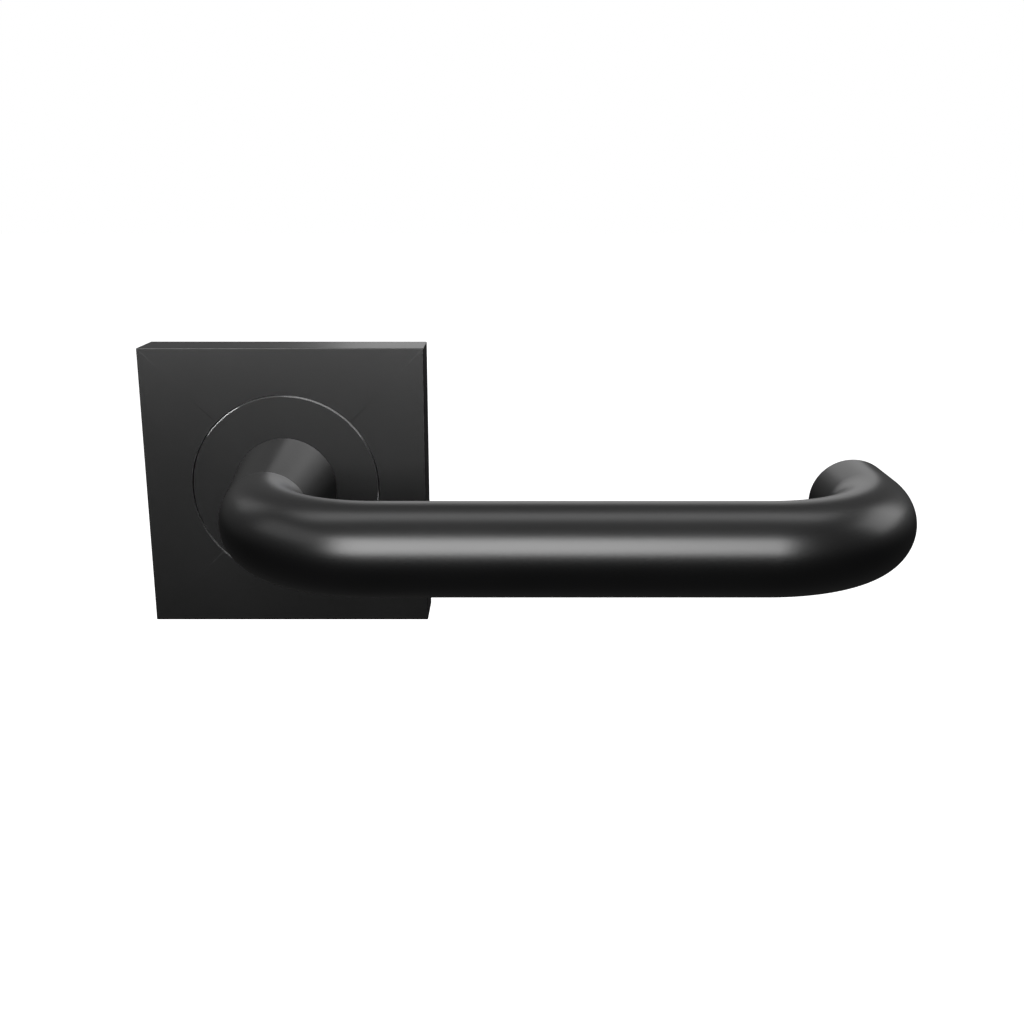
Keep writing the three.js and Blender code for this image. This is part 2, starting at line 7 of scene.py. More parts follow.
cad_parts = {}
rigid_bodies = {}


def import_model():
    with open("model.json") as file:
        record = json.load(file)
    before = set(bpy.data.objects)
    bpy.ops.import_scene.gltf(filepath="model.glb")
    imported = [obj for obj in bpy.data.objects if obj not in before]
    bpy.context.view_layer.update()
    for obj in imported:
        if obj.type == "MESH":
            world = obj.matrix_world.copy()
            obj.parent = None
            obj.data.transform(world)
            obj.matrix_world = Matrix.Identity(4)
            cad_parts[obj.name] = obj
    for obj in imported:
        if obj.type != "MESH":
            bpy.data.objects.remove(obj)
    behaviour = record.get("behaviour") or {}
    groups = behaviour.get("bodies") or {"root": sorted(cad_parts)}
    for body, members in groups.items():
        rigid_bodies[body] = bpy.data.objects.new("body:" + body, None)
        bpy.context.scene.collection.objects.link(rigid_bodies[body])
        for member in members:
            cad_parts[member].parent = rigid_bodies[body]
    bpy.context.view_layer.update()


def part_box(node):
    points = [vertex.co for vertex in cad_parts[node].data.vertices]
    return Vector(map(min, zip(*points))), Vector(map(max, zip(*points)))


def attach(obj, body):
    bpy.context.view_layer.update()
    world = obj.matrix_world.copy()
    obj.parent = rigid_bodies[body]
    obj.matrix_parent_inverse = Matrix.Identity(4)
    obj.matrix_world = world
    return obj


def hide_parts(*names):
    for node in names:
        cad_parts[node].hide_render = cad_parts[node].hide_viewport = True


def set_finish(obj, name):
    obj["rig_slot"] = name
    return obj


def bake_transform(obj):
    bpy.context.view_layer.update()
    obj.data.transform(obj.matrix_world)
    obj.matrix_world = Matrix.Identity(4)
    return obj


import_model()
mm = 0.001
nearAxis = 0.05  # where a closed profile stops short of the Y axis

cameraSettings = {
    "place": (0.04447, -0.24677, 0.05797),  # beside the elbow, a little above the bar
    "downwards": 14.896,
    "fieldOfView": 45.0,
    "sensor": 36.0,
}


def addCamera(settings):
    data = bpy.data.cameras.new("camera")
    data.sensor_width = settings["sensor"]
    data.lens = settings["sensor"] / 2 / tan(radians(settings["fieldOfView"] / 2))
    data.clip_start = 0.01
    camera = bpy.data.objects.new("camera", data)
    camera.location = settings["place"]
    camera.rotation_euler = (radians(90 - settings["downwards"]), 0, 0)
    bpy.context.collection.objects.link(camera)
    bpy.context.scene.camera = camera


addCamera(cameraSettings)
print("camera placed")


class Wire:
    # one output socket: sums on wires add Math nodes, and add() adds any other node

    def __init__(self, tree, socket):
        self.tree = tree
        self.socket = socket

    def add(self, kind, settings=None, inputs=None, output=0):
        node = self.tree.nodes.new("ShaderNode" + kind)
        for key, value in (settings or {}).items():
            if key == "stops":
                setStops(node.color_ramp, value)
            else:
                setattr(node, key, value)
        for key, value in (inputs or {}).items():
            self.plug(node.inputs[key], value)
        return Wire(self.tree, node.outputs[output])

    def plug(self, target, value):
        if isinstance(value, Wire):
            self.tree.links.new(value.socket, target)
        else:
            target.default_value = value

    def maths(self, operation, *values):
        return self.add("Math", {"operation": operation}, dict(enumerate(values)))

    def __add__(self, other):
        return self.maths("ADD", self, other)

    def __sub__(self, other):
        return self.maths("SUBTRACT", self, other)

    def __rsub__(self, other):
        return self.maths("SUBTRACT", other, self)

    def __mul__(self, other):
        return self.maths("MULTIPLY", self, other)

    def __pow__(self, other):
        return self.maths("POWER", self, other)

    __radd__ = __add__
    __rmul__ = __mul__

    def above(self, low, high):
        # 0 below low, 1 above high, smooth between
        return self.add("MapRange", {"interpolation_type": "SMOOTHSTEP"}, {0: self, 1: low, 2: high})

    def noise(self, scale, detail=2.0, roughness=0.5, stretch=None):
        place = self
        if stretch is not None:
            place = self.add("VectorMath", {"operation": "MULTIPLY"}, {0: self, 1: stretch})
        inputs = {"Vector": place, "Scale": scale, "Detail": detail, "Roughness": roughness}
        return place.add("TexNoise", {}, inputs)

    def blend(self, first, second):
        # first where this wire is 0 and second where it is 1
        settings = {"data_type": "RGBA", "clamp_factor": True}
        return self.add("Mix", settings, {0: self, 6: first, 7: second}, output=2)


def setStops(ramp, stops):
    while len(ramp.elements) < len(stops):
        ramp.elements.new(1.0)
    for element, (place, colour) in zip(ramp.elements, stops):
        element.position = place
        element.color = colour


# In the mesh helpers all sizes are in millimetres. A loop is a ring of points round the Y axis, anticlockwise
# as the room sees it. A body is made of loops from its front to its back along its outside, then forward
# again along its inside.


def span(node):
    low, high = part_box(node)
    return Vector(low) / mm, Vector(high) / mm


def centreOf(node):
    low, high = span(node)
    return (low.x + high.x) / 2, (low.z + high.z) / 2


def upperAndLower(stem):
    return [stem + "_upper", stem + "_lower"]


def leftAndRight(stem):
    return [stem + "_left", stem + "_right"]


def circleLoop(radius, y, count=96):
    turns = [2 * pi * i / count for i in range(count)]
    return [Vector((radius * cos(t), y, radius * sin(t))) for t in turns]


def squareLoop(half, corner, y, sideSteps=18, cornerSteps=6):
    # a side's points are spread by angle, so that they line up with a circle inside the square
    points = []
    reach = atan2(half - corner, half)
    for side in range(4):
        turn = Matrix.Rotation(-side * pi / 2, 3, "Y")
        for i in range(sideSteps):
            slant = tan(reach * (2 * i / (sideSteps - 1) - 1))
            points.append(turn @ Vector((half, y, half * slant)))
        for i in range(1, cornerSteps):
            angle = pi / 2 * i / cornerSteps
            middle = half - corner
            points.append(turn @ Vector((middle + corner * cos(angle), y, middle + corner * sin(angle))))
    return points


def circleInside(loop, radius, y):
    # a circle whose points lie in the same directions as those of loop
    flat = [Vector((p.x, 0, p.z)).normalized() * radius for p in loop]
    return [p + Vector((0, y, 0)) for p in flat]


def crossLoop(reach, width, y):
    # a plus sign, for the recess of a cross-headed screw
    arm = [(reach, -width / 2), (reach, width / 2), (width / 2, width / 2)]
    points = []
    for side in range(4):
        turn = Matrix.Rotation(-side * pi / 2, 3, "Y")
        points += [turn @ Vector((x, y, z)) for x, z in arm]
    return points


def quarterRound(start, corner, end):
    points = []
    steps = 4
    for i in range(steps + 1):
        t = i / steps * pi / 2
        points.append(start + (corner - start) * sin(t) + (end - corner) * (1 - cos(t)))
    return points


def softened(profile, closed=True):
    # (radius, y, rounding) corners as a list of points, each corner rounded by its own amount
    corners = [Vector(p[:2]) for p in profile]
    points = []
    for i, corner in enumerate(corners):
        size = profile[i][2] if len(profile[i]) > 2 else 0
        if size == 0 or (not closed and i in (0, len(corners) - 1)):
            points.append(corner)
            continue
        before = corners[i - 1] - corner
        after = corners[(i + 1) % len(corners)] - corner
        start = corner + before.normalized() * min(size, before.length * 0.49)
        end = corner + after.normalized() * min(size, after.length * 0.49)
        points += quarterRound(start, corner, end)
    return points


def facesOf(loopCount, pointCount, ring):
    faces = []
    for i in range(loopCount if ring else loopCount - 1):
        a = i * pointCount
        b = (i + 1) % loopCount * pointCount
        for j in range(pointCount):
            k = (j + 1) % pointCount
            faces.append((a + j, b + j, b + k, a + k))
    return faces


def weldMesh(mesh, distance, turnOutwards=False):
    # joins points that are nearer than distance, and drops what that leaves without an area
    shape = bmesh.new()
    shape.from_mesh(mesh)
    bmesh.ops.remove_doubles(shape, verts=shape.verts, dist=distance * mm)
    if turnOutwards:
        bmesh.ops.recalc_face_normals(shape, faces=shape.faces)
    else:
        bmesh.ops.dissolve_degenerate(shape, edges=shape.edges, dist=distance * mm)
    shape.to_mesh(mesh)
    shape.free()


def makePiece(name, points, faces, sharp=32, weld=False):
    mesh = bpy.data.meshes.new(name)
    mesh.from_pydata([tuple(p * mm) for p in points], [], faces)
    if weld:
        weldMesh(mesh, 1e-4)
    piece = bpy.data.objects.new(name, mesh)
    bpy.context.collection.objects.link(piece)
    smooth(piece, sharp)
    return piece


def smooth(piece, sharp):
    # large faces keep their own normal, so that only the rounded edges between them shade smoothly
    piece.data.shade_smooth()
    piece.data.set_sharp_from_angle(angle=radians(sharp))
    weights = piece.modifiers.new("normals", "WEIGHTED_NORMAL")
    weights.keep_sharp = True


def loft(name, loops, ring=False, sharp=32):
    # faces from each loop to the next; a ring closes on its first loop, any other gets flat ends
    count = len(loops[0])
    points = [p for loop in loops for p in loop]
    faces = facesOf(len(loops), count, ring)
    if not ring:
        faces.append(tuple(range(count)))
        faces.append(tuple(range(len(points) - 1, len(points) - count - 1, -1)))
    return makePiece(name, points, faces, sharp)


def turned(name, profile, ring=False, count=96, sharp=32):
    points = softened(profile, closed=ring)
    return loft(name, [circleLoop(p.x, p.y, count) for p in points], ring, sharp)


def carve(piece, cutters, operation="DIFFERENCE", sharp=32):
    piece.modifiers.clear()
    for cutter in cutters:
        step = piece.modifiers.new("cut", "BOOLEAN")
        step.operation = operation
        step.solver = "EXACT"
        step.object = cutter
    bpy.context.view_layer.update()
    shaped = piece.evaluated_get(bpy.context.evaluated_depsgraph_get())
    mesh = bpy.data.meshes.new_from_object(shaped)
    piece.modifiers.clear()
    piece.data = mesh
    for cutter in cutters:
        bpy.data.objects.remove(cutter)
    smooth(piece, sharp)
    return piece


def moved(piece, x=0, y=0, z=0, turn=None):
    matrix = Matrix.Translation(Vector((x, y, z)) * mm)
    if turn is not None:
        matrix = matrix @ turn
    piece.data.transform(matrix)
    return piece


def placed(piece, node):
    # moves what was made on the Y axis to its node's place
    x, z = centreOf(node)
    return moved(piece, x=x, z=z)


def holeCutter(radius, front, back, flare=0.15, count=48):
    # a hole right through from front to back, with a small chamfer at each face
    past = 1  # how far it reaches beyond each face
    profile = [(radius + flare + past, front - past), (radius, front + flare), (radius, back - flare),
               (radius + flare + past, back + past)]
    return turned("cutter", profile, count=count)


def arc(radius, start, end, steps, x=0, z=0):
    # [x, z] points of an arc between two angles in degrees
    turns = [radians(start + (end - start) * i / steps) for i in range(steps + 1)]
    return [(x + radius * cos(t), z + radius * sin(t)) for t in turns]


def plateFrom(name, outlines, front, back, edge):
    # a flat piece with a bevelled edge all round: its outline first and then its holes, in [x, z]
    data = bpy.data.curves.new(name, "CURVE")
    data.dimensions = "2D"
    data.fill_mode = "BOTH"
    data.extrude = ((back - front) / 2 - edge) * mm
    data.bevel_depth = edge * mm
    data.bevel_resolution = 1
    data.offset = -edge * mm
    for outline in outlines:
        spline = data.splines.new("POLY")
        spline.points.add(len(outline) - 1)
        for point, (x, z) in zip(spline.points, outline):
            point.co = (x * mm, z * mm, 0, 1)
        spline.use_cyclic_u = True
    shape = bpy.data.objects.new(name, data)
    bpy.context.collection.objects.link(shape)
    bpy.context.view_layer.update()
    mesh = bpy.data.meshes.new_from_object(shape.evaluated_get(bpy.context.evaluated_depsgraph_get()))
    bpy.data.objects.remove(shape)
    piece = bpy.data.objects.new(name, mesh)
    bpy.context.collection.objects.link(piece)
    moved(piece, y=(front + back) / 2, turn=Matrix.Rotation(pi / 2, 4, "X"))
    weldMesh(mesh, 1e-3, turnOutwards=True)
    smooth(piece, 32)
    return piece


def roundedBox(width, height, corner, steps=3):
    # a rectangle's outline with rounded corners, anticlockwise from its right side
    points = []
    for sx, sy, start in ((1, 1, 0), (-1, 1, 90), (-1, -1, 180), (1, -1, 270)):
        x = sx * (width / 2 - corner)
        y = sy * (height / 2 - corner)
        points += arc(corner, start, start + 90, steps, x, y)
    return points


def threadedBody(name, before, thread, after, count=32):
    # A screw: plain loops up to the thread, the thread as one helix, and plain loops after it. before
    # and after are (radius, y) profiles. root and crest in thread are functions of y.
    points = []
    faces = []

    def addLoops(profile):
        start = len(points)
        for radius, y in profile:
            points.extend(circleLoop(radius, y, count))
        faces.extend([tuple(start + i for i in face) for face in facesOf(len(profile), count, False)])
        return start

    front, back, pitch = thread["front"], thread["back"], thread["pitch"]
    first = addLoops(before + [(thread["root"](front), front)])
    faces.append(tuple(range(first, first + count)))
    addLoops([(thread["root"](back), back)] + after)
    end = len(points)
    faces.append(tuple(range(end - 1, end - count - 1, -1)))
    shares = (0.0, 0.0, 1.0, 1.0)  # root twice, then crest twice, in each pitch
    steps = len(shares)
    rows = int((back - front) / pitch + 2) * steps
    start = len(points)
    for i in range(rows + 1):
        for j in range(count):
            y = front + (i / steps - 1 + j / count) * pitch
            y = min(max(y, front), back)
            fade = min(1, (y - front) / pitch * 2, (back - y) / pitch * 2)
            root = thread["root"](y)
            radius = root + (thread["crest"](y) - root) * shares[i % steps] * fade
            turnAngle = 2 * pi * j / count
            points.append(Vector((radius * cos(turnAngle), y, radius * sin(turnAngle))))

    def at(i, j):
        # one turn further on, the helix has moved by one pitch
        return start + min(i + (steps if j == count else 0), rows) * count + j % count

    for i in range(rows):
        for j in range(count):
            faces.append((at(i, j), at(i + 1, j), at(i + 1, j + 1), at(i, j + 1)))
    return makePiece(name, points, faces, sharp=40, weld=True)


def constant(value):
    # a radius of a thread that is the same all along it
    return lambda y: value


def startFinish(name, metallic=0.0):
    # the new material, its shader, the place on the piece, and how near to an edge that place is
    material = bpy.data.materials.new(name)
    material.use_nodes = True
    tree = material.node_tree
    shader = tree.nodes["Principled BSDF"]
    shader.inputs["Metallic"].default_value = metallic
    place = Wire(tree, tree.nodes.new("ShaderNodeTexCoord").outputs["Object"])
    true = place.add("NewGeometry", {}, {}, "Normal")
    eased = place.add("Bevel", {"samples": 6}, {"Radius": 0.35 * mm})
    match = eased.add("VectorMath", {"operation": "DOT_PRODUCT"}, {0: eased, 1: true}, "Value")
    return material, shader, place, (1 - match).above(0.002, 0.06)


def addSurface(shader, colour, roughness, relief, depth):
    bump = relief.add("Bump", {}, {"Strength": 1.0, "Distance": depth * mm, "Height": relief})
    for name, wire in (("Base Color", colour), ("Roughness", roughness), ("Normal", bump)):
        wire.plug(shader.inputs[name], wire)


blackCoat = {
    "colour": (0.0004, 0.0004, 0.00045, 1),
    "faded": (0.0009, 0.0009, 0.001, 1),
    "thin": (0.045, 0.045, 0.048, 1),  # on sharp edges, where the coat is thin
    "roughness": 0.32,
    "peel": 1500,  # waves per metre of the coat's faint orange peel
    "grain": 9000,
    "peelDepth": 0.004,
}


def coatFinish(name, settings, glintArcs=None):
    material, shader, place, edge = startFinish(name)
    cloud = place.noise(35, 3)
    peel = place.noise(settings["peel"], 2)
    grain = place.noise(settings["grain"], 1)
    broken = place.noise(700, 4, 0.7).above(0.42, 0.62)
    worn = edge * broken * 0.35
    colour = cloud.above(0.35, 0.65).blend(settings["colour"], settings["faded"])
    colour = worn.blend(colour, settings["thin"])
    roughness = settings["roughness"] + (cloud - 0.5) * 0.05 + (grain - 0.5) * 0.06 + worn * 0.1
    # painted glints: the seam's rim turns to bright bare metal on the arcs where highlights fall
    if glintArcs:
        glintMask = paintedGlintRim(place, edge, glintArcs)
        colour = glintMask.blend(colour, glintArcs["glintColour"])
        glintMask.plug(shader.inputs["Metallic"], glintMask)
    addSurface(shader, colour, roughness, peel + grain * 0.35, settings["peelDepth"])
    return material


def paintedGlintRim(place, edge, arcs):
    # 1 where the rim of a disc about the Y axis gets a painted glint: bright bare metal on the arcs where
    # highlights fall, and 0 elsewhere
    x, y, z = [place.add("SeparateXYZ", {}, {"Vector": place}, axis) for axis in "XYZ"]
    angle = z.maths("ARCTAN2", z, x) * (180 / pi)
    radius = (x * x + z * z) ** 0.5
    rim = radius.above((arcs["radius"] - 0.25) * mm, (arcs["radius"] - 0.1) * mm)
    total = 0
    for start, end, strength in arcs["spans"]:
        fade = arcs["fade"]
        total = angle.above(start, start + fade) * (1 - angle.above(end - fade, end)) * strength + total
    front = 1 - y.above((arcs["front"] + 0.15) * mm, (arcs["front"] + 0.25) * mm)
    speckle = place.noise(1300, 2).above(0.3, 0.5) * 0.5 + 0.5
    return total * rim * front * speckle * edge.above(0.3, 0.8)


platedZinc = {
    "colour": (0.58, 0.59, 0.61, 1),
    "cloudy": (0.53, 0.542, 0.565, 1),
    "tinted": (0.56, 0.545, 0.50, 1),  # the faint yellow of a passivated coat
    "bright": (0.76, 0.77, 0.78, 1),
    "roughness": 0.38,
}


def metalFinish(name, settings, stretch=(1, 1, 1), lines=900, depth=0.003):
    # plated or plain metal, with faint lines along the direction in which stretch is small
    material, shader, place, edge = startFinish(name, metallic=1.0)
    cloud = place.noise(90, 4, 0.6)
    tint = place.noise(160, 2, 0.5, (1, 1.3, 0.8))
    grain = place.noise(lines, 3, 0.6, stretch)
    speck = place.noise(4200, 2)
    rubbed = edge * (0.4 + speck * 0.6)
    colour = cloud.above(0.38, 0.66).blend(settings["colour"], settings["cloudy"])
    colour = (tint.above(0.5, 0.72) * 0.6).blend(colour, settings["tinted"])
    colour = rubbed.blend(colour, settings["bright"])
    roughness = settings["roughness"] + (cloud - 0.5) * 0.1 + (grain - 0.5) * 0.22 - rubbed * 0.06
    addSurface(shader, colour, roughness, grain + speck * 0.4, depth)
    return material


oiledSteel = {
    "colour": (0.30, 0.305, 0.31, 1),
    "cloudy": (0.22, 0.22, 0.225, 1),
    "tinted": (0.26, 0.235, 0.20, 1),
    "bright": (0.55, 0.56, 0.57, 1),
    "roughness": 0.33,
}

bluedSteel = {
    "colour": (0.055, 0.062, 0.085, 1),
    "cloudy": (0.040, 0.042, 0.050, 1),
    "tinted": (0.085, 0.062, 0.050, 1),
    "bright": (0.30, 0.31, 0.33, 1),
    "roughness": 0.30,
}

naturalNylon = {
    "colour": (0.72, 0.70, 0.62, 1),
    "cloudy": (0.64, 0.61, 0.52, 1),
    "bright": (0.82, 0.81, 0.76, 1),
    "roughness": 0.48,
}


def nylonFinish(settings=naturalNylon):
    material, shader, place, edge = startFinish("nylon")
    cloud = place.noise(180, 3)
    grain = place.noise(2600, 2)
    colour = cloud.above(0.4, 0.7).blend(settings["colour"], settings["cloudy"])
    colour = edge.blend(colour, settings["bright"])
    roughness = settings["roughness"] + (grain - 0.5) * 0.15
    addSurface(shader, colour, roughness, grain, 0.004)
    return material


# arcs of painted glint round the disc's rim, placed where highlights fall under this lighting
seamGlints = {
    "radius": span("cover_disc")[1].x - 1.38,
    "front": span("cover_disc")[0].y,
    "fade": 5.0,
    "glintColour": (0.86, 0.86, 0.87, 1),
    "spans": [(116, 146, 1.5), (30, 92, 0.2), (-10, -1, 0.8)],  # start, end and strength of each arc of painted glint
}

black = coatFinish("black_coat", blackCoat)
blackInside = coatFinish("black_coat_inside", {**blackCoat, "roughness": 0.8})
# the disc's coat, with painted glints on its rim
blackPaintedGlints = coatFinish("black_coat_painted_glints", blackCoat, seamGlints)
castZinc = metalFinish("zinc_cast", platedZinc, lines=1600, depth=0.006)
rolledZinc = metalFinish("zinc_rolled", platedZinc, (1.0, 1.0, 0.04), 1800)
drawnZinc = metalFinish("zinc_drawn", platedZinc, (1.0, 0.02, 1.0), 2200, 0.004)
turnedZinc = metalFinish("zinc_turned", platedZinc, (0.15, 1.0, 0.15), 5000)
steel = metalFinish("steel", oiledSteel, (0.2, 1.0, 0.2), 4000)
rolledSteel = metalFinish("steel_rolled", oiledSteel, (0.04, 1.0, 1.0), 1800)
springSteel = metalFinish("spring_steel", bluedSteel, (1.0, 1.0, 0.1), 2500)
nylon = nylonFinish()
print("finishes made")


def finish(piece, node, body, material, slot):
    piece.data.materials.clear()
    piece.data.materials.append(material)
    piece.visible_glossy = False  # the coat reflects the studio, and not the handle's own pieces
    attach(piece, body)
    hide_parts(node)
    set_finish(piece, slot)


grip = {
    "wall": 1.6,
    "bend": 22.0,
    "bendSteps": 40,
    "around": 128,
    "jointEdge": 0.06,
    "rimEdge": 0.45,
    "boreEdge": 0.2,
}


def gripStations(settings):
    # (centre, direction) along the grip's middle line, from the neck to the free end
    low, high = span("grip_tube")
    bend = settings["bend"]
    bendY = low.y + high.z + bend  # of the middle of both bends
    reach = high.x - high.z
    turns = [radians(90) * i / settings["bendSteps"] for i in range(settings["bendSteps"] + 1)]
    stations = [(Vector((0, bendY, 0)), Vector((0, -1, 0)))]
    for t in turns[1:]:
        centre = Vector((bend - bend * cos(t), bendY - bend * sin(t), 0))
        stations.append((centre, Vector((sin(t), -cos(t), 0))))
    for t in turns:
        centre = Vector((reach - bend + bend * sin(t), bendY - bend * cos(t), 0))
        stations.append((centre, Vector((cos(t), sin(t), 0))))
    stations.append((Vector((reach, high.y, 0)), Vector((0, 1, 0))))
    return stations


def makeGrip(settings):
    radius = span("grip_tube")[1].z
    bore = radius - settings["wall"]
    stations = gripStations(settings)
    up = Vector((0, 0, 1))
    turns = [2 * pi * i / settings["around"] for i in range(settings["around"])]

    def ringOf(station, size, back=0.0):
        centre, direction = station
        across = direction.cross(up)
        middle = centre - direction * back
        return [middle + (across * cos(t) + up * sin(t)) * size for t in turns]

    first, last = stations[0], stations[-1]
    startEdge = [(bore, 0, settings["jointEdge"]), (radius, 0, settings["jointEdge"])]
    endEdge = [(radius, 0, settings["rimEdge"]), (bore, 0, settings["boreEdge"])]
    within = 3  # a place inside the bar, so that each rim's corners have a side to round towards
    startProfile = softened([(bore, -within)] + startEdge + [(radius, -within)], closed=False)[1:-1]
    endProfile = softened([(radius, within)] + endEdge + [(bore, within)], closed=False)[1:-1]
    loops = [ringOf(first, p.x, p.y) for p in startProfile]
    loops += [ringOf(station, radius) for station in stations[1:-1]]
    loops += [ringOf(last, p.x, p.y) for p in endProfile]
    loops += [ringOf(station, bore) for station in reversed(stations[1:-1])]
    finish(loft("grip", loops, ring=True), "grip_tube", "lever", black, "black_coat")


makeGrip(grip)

plug = {
    "fit": 0.02,  # between the plug and the grip's bore
    "skirt": 1.2,
    "face": 1.4,
    "edge": 0.35,
    "innerEdge": 0.3,
    "mouthEdge": 0.2,
    "dish": 0.25,
    "dishRadius": 3.4,
    "dishRim": 0.3,
    "dishEdge": 0.15,
}


def makeEndPlug(settings):
    low, high = span("end_plug")
    radius = span("grip_tube")[1].z - grip["wall"] - settings["fit"]
    inner = radius - settings["skirt"]
    dish = settings["dishRadius"]
    back = high.y - settings["face"]
    piece = turned("end_plug_turned", [
        (nearAxis, back), (inner, back, settings["innerEdge"]), (inner, low.y, settings["mouthEdge"]),
        (radius, low.y, settings["innerEdge"]), (radius, high.y, settings["edge"]),
        (dish + settings["dishRim"], high.y, settings["dishEdge"]),
        (dish, high.y - settings["dish"], settings["dishEdge"]), (nearAxis, high.y - settings["dish"]),
    ])
    moved(piece, x=(low.x + high.x) / 2)
    finish(piece, "end_plug", "lever", black, "black_coat")


makeEndPlug(plug)

collar = {
    "shoulderGap": 0.12,  # in front of the disc
    "jointGap": 0.08,  # behind the grip
    "jointEdge": 0.06,
    "shoulderEdge": 0.2,
    "spigot": 5.6,
    "spigotEdge": 0.5,
    "rootEdge": 0.1,
    "journal": 8.0,
    "journalEdge": 0.4,
    "socket": 8.3,
    "socketDepth": 19.0,
    "socketCorner": 0.3,
    "socketFlare": 0.4,
    "grubHole": 2.58,
    "grubFlare": 0.9,  # where its chamfer starts, as a share of the neck's radius
}


def makeNeck(settings):
    low, high = span("neck")
    gripLow, gripHigh = span("grip_tube")
    elbow = gripLow.y + gripHigh.z + grip["bend"] + settings["jointGap"]
    shoulder = span("rose_cover")[0].y - settings["shoulderGap"]
    piece = turned("neck_turned", [
        (nearAxis, low.y), (settings["spigot"], low.y, settings["spigotEdge"]),
        (settings["spigot"], elbow, settings["rootEdge"]), (gripHigh.z, elbow, settings["jointEdge"]),
        (high.x, shoulder, settings["shoulderEdge"]),
        (settings["journal"], shoulder, settings["shoulderEdge"]),
        (settings["journal"], high.y, settings["journalEdge"]), (nearAxis, high.y),
    ], count=160, sharp=24)
    half = settings["socket"] / 2
    corner = settings["socketCorner"]
    depth = high.y - settings["socketDepth"]
    flare = high.y - settings["socketFlare"]
    socket = loft("cutter", [squareLoop(half, corner, depth), squareLoop(half, corner, flare),
                             squareLoop(half + 1, 2 * corner, flare + 1)])
    radius = settings["grubHole"]
    flare = high.x * settings["grubFlare"]
    hole = turned("cutter", [(radius, 0), (radius, flare), (radius + 2, flare + 2)], count=48)
    grub = span("grub_screw")
    moved(hole, y=(grub[0].y + grub[1].y) / 2, turn=Matrix.Rotation(-pi / 2, 4, "X"))
    carve(piece, [socket, hole], sharp=24)
    finish(piece, "neck", "lever", black, "black_coat")


makeNeck(collar)

grubThread = {"pitch": 0.8, "depth": 0.42, "front": 0.25, "back": 0.7, "socket": 2.5, "socketDepth": 1.8}


def makeGrubScrew(settings):
    low, high = span("grub_screw")
    radius = (high.x - low.x) / 2
    root = radius - settings["depth"]
    thread = {"front": low.z + settings["front"], "back": high.z - settings["back"],
              "pitch": settings["pitch"], "root": constant(root), "crest": constant(radius)}
    before = [(root - 0.3, low.z)]
    cup = high.z - 0.35  # the hollow of its point
    after = [(root - 0.7, high.z), (root - 1.2, high.z), (root - 1.5, cup), (2 * nearAxis, cup)]
    piece = threadedBody("grub_screw_threaded", before, thread, after)
    hexRadius = settings["socket"] / 2 / cos(pi / 6)
    socket = turned("cutter", [(hexRadius + 1, low.z - 0.8), (hexRadius, low.z + 0.2),
                               (hexRadius, low.z + settings["socketDepth"])], count=6)
    carve(piece, [socket], sharp=40)
    moved(piece, y=(low.y + high.y) / 2, turn=Matrix.Rotation(pi / 2, 4, "X"))
    finish(piece, "grub_screw", "lever", steel, "steel")


makeGrubScrew(grubThread)

squareBar = {"edge": 0.45, "tip": 0.7, "ease": 0.1}


def makeSpindle(settings):
    low, high = span("spindle")
    half = high.x
    tip = settings["tip"]
    ease = settings["ease"]
    front = [(half - tip, 0), (half - ease, tip - ease), (half, tip + ease)]
    sizes = [(size, low.y + step) for size, step in front]
    sizes += [(size, high.y - step) for size, step in reversed(front)]
    piece = loft("spindle_bar", [squareLoop(size, settings["edge"], y) for size, y in sizes], sharp=24)
    finish(piece, "spindle", "lever", drawnZinc, "zinc")


makeSpindle(squareBar)

rotor = {
    "flange": 0.8,
    "hub": 8.0,
    "journal": 7.8,
    "groove": (7.1, 0.8, 2.2),  # radius, front and back of the ring's groove
    "edge": 0.15,
    "hubEdge": 0.3,
    "grooveEdge": 0.08,
    "plateGap": 0.3,
    "socket": 8.25,
    "socketCorner": 0.25,
    "socketFlare": 0.3,
    "peg": 0.8,
    "pegPlace": 12.0,
    "pegLength": 2.5,
    "travel": 45,
    "notchInside": 10.5,
    "notchGap": 0.3,
}


